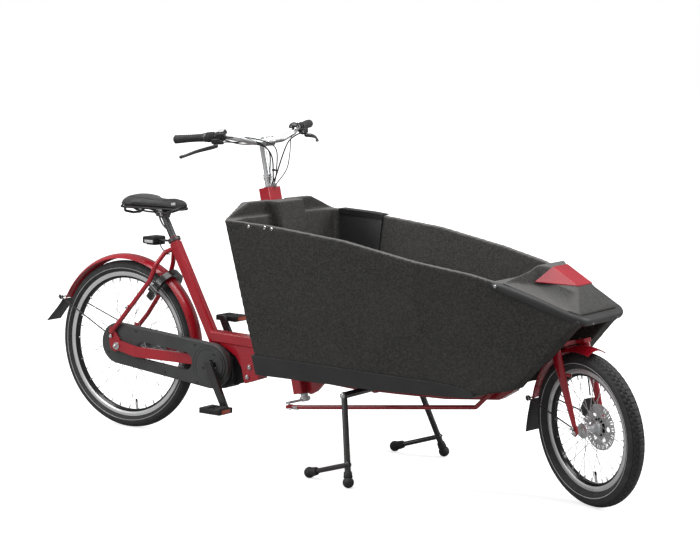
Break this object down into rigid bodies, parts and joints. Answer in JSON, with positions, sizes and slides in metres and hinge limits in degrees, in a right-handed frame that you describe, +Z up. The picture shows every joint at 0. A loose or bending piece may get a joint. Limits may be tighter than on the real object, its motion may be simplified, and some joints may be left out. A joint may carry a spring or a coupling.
{
  "type": "cargo bicycle",
  "caption": "Front-load electric cargo bicycle: moulded box between the wheels, linkage-steered small front wheel, mid motor, enclosed chain, twin-leg stand, sprung-rail saddle.",
  "frame": {"origin": "on the ground, on the bicycle's centre plane, halfway along its overall length", "axes": "+X towards the front wheel, +Y to the rider's left, +Z up"},
  "size_m": [2.6781, 0.688, 1.2272],
  "materials": {
    "frame_paint": "glossy red lacquer",
    "black_metal": "satin black powder coat",
    "black_plastic": "fine grained",
    "gloss_black": "smooth",
    "foam": "speckled expanded bead foam",
    "tray_plastic": "smooth",
    "bumper_rubber": "smooth dense skin",
    "red_panel": "grained",
    "rubber": "matt",
    "tyre": "matt with a fine pale line",
    "bright_aluminium": "brushed",
    "stainless": "polished",
    "chrome": "polished",
    "chain_steel": "oiled",
    "red_lens": "clear moulded",
    "saddle_cover": "soft grained cover"
  },
  "bodies": {
    "frame": {"main_frame": "frame_paint", "headset_cups": "bright_aluminium", "seat_collar": "bright_aluminium", "motor_housing": "black_plastic", "mount_bolts": "stainless", "chain_case": "black_plastic", "chain": "chain_steel", "rear_axle": "stainless", "roller_brake": "bright_aluminium", "ring_lock": "gloss_black", "rear_light": "black_plastic", "rear_light_lens": "red_lens", "cargo_box": "foam", "base_tray": "tray_plastic", "nose_cap": "foam", "nose_panel": "red_panel", "nose_bumper": "bumper_rubber", "box_studs": "chrome", "side_panel": "black_plastic", "rear_mudguard": "frame_paint", "rear_flap": "rubber", "rear_guard_stays": "black_metal"},
    "rear_wheel": {"rear_tyre": "tyre", "rear_rim": "bright_aluminium", "rear_spokes": "stainless", "rear_hub": "bright_aluminium"},
    "rear_sprocket": {"rear_sprocket": "chain_steel"},
    "steering": {"steering_column": "bright_aluminium", "stem": "bright_aluminium", "handlebar": "bright_aluminium", "grips": "rubber", "lever_clamps": "black_plastic", "bell": "gloss_black", "control_cables": "black_plastic"},
    "brake_lever_left": {"brake_lever_left": "black_metal"},
    "brake_lever_right": {"brake_lever_right": "black_metal"},
    "twist_shifter": {"twist_shifter": "rubber"},
    "steering_rod": {"steering_rod": "frame_paint"},
    "fork": {"fork": "frame_paint", "front_axle": "stainless", "brake_caliper": "bright_aluminium", "front_mudguard": "frame_paint", "front_flap": "rubber", "front_guard_stays": "black_metal"},
    "front_wheel": {"front_tyre": "tyre", "front_rim": "bright_aluminium", "front_spokes": "stainless", "front_hub": "bright_aluminium", "brake_rotor": "stainless"},
    "crank": {"crank_arms": "black_metal", "chainring": "stainless"},
    "pedal_left": {"pedal_left": "black_plastic"},
    "pedal_right": {"pedal_right": "black_plastic"},
    "kickstand": {"kickstand": "black_metal", "kickstand_feet": "rubber"},
    "seat": {"seat_post": "bright_aluminium", "saddle_rails": "black_metal", "saddle": "saddle_cover"}
  },
  "joints": [
    {"name": "steering_turn", "type": "hinge", "parent": "frame", "child": "steering", "pos_m": [-0.15453, 0, 0.5], "axis": [-0.225, 0, 0.9744], "range_deg": [-13.5, 62.5]},
    {"name": "fork_turn", "type": "hinge", "parent": "frame", "child": "fork", "pos_m": [0.97074, 0, 0.53], "axis": [-0.225, 0, 0.9744], "range_deg": [-13.5, 62.5]},
    {"name": "rod_swing", "type": "hinge", "parent": "steering", "child": "steering_rod", "pos_m": [-0.11327, -0.0637, 0.19224], "axis": [-0.225, 0, 0.9744], "range_deg": [-62.5, 13.5]},
    {"name": "rear_wheel_spin", "type": "hinge", "parent": "frame", "child": "rear_wheel", "pos_m": [-0.938, 0, 0.329], "axis": [0, 1, 0], "continuous": true},
    {"name": "sprocket_spin", "type": "hinge", "parent": "frame", "child": "rear_sprocket", "pos_m": [-0.938, 0, 0.329], "axis": [0, 1, 0], "continuous": true},
    {"name": "crank_spin", "type": "hinge", "parent": "frame", "child": "crank", "pos_m": [-0.468, 0, 0.306], "axis": [0, 1, 0], "continuous": true},
    {"name": "pedal_right_spin", "type": "hinge", "parent": "crank", "child": "pedal_right", "pos_m": [-0.38996, -0.143, 0.1561], "axis": [0, 1, 0], "continuous": true},
    {"name": "pedal_left_spin", "type": "hinge", "parent": "crank", "child": "pedal_left", "pos_m": [-0.54604, 0.143, 0.45591], "axis": [0, 1, 0], "continuous": true},
    {"name": "front_wheel_spin", "type": "hinge", "parent": "fork", "child": "front_wheel", "pos_m": [1.09601, -0.02832, 0.26362], "axis": [0.4041, 0.91, 0.0933], "continuous": true},
    {"name": "stand_fold", "type": "hinge", "parent": "frame", "child": "kickstand", "pos_m": [0.242, 0, 0.303], "axis": [0, 1, 0], "range_deg": [0, 70]},
    {"name": "left_brake_squeeze", "type": "hinge", "parent": "steering", "child": "brake_lever_left", "pos_m": [-0.22664, 0.17306, 1.18071], "axis": [-0.0197, -0.0933, 0.9954], "range_deg": [0, 18]},
    {"name": "right_brake_squeeze", "type": "hinge", "parent": "steering", "child": "brake_lever_right", "pos_m": [-0.38167, -0.17608, 1.14492], "axis": [0.0197, 0.0933, -0.9954], "range_deg": [0, 18]},
    {"name": "gear_twist", "type": "hinge", "parent": "steering", "child": "twist_shifter", "pos_m": [-0.41771, -0.16015, 1.16865], "axis": [-0.9307, -0.3534, -0.0948], "range_deg": [-60, 60]},
    {"name": "saddle_height", "type": "slide", "parent": "frame", "child": "seat", "axis": [-0.4848, 0, 0.8746], "range_m": [0, 0.12]}
  ],
  "couplings": [
    {"joint": "fork_turn", "follows": "steering_turn", "ratio": 1},
    {"joint": "rod_swing", "follows": "steering_turn", "ratio": -1},
    {"joint": "sprocket_spin", "follows": "crank_spin", "ratio": 1.4}
  ]
}
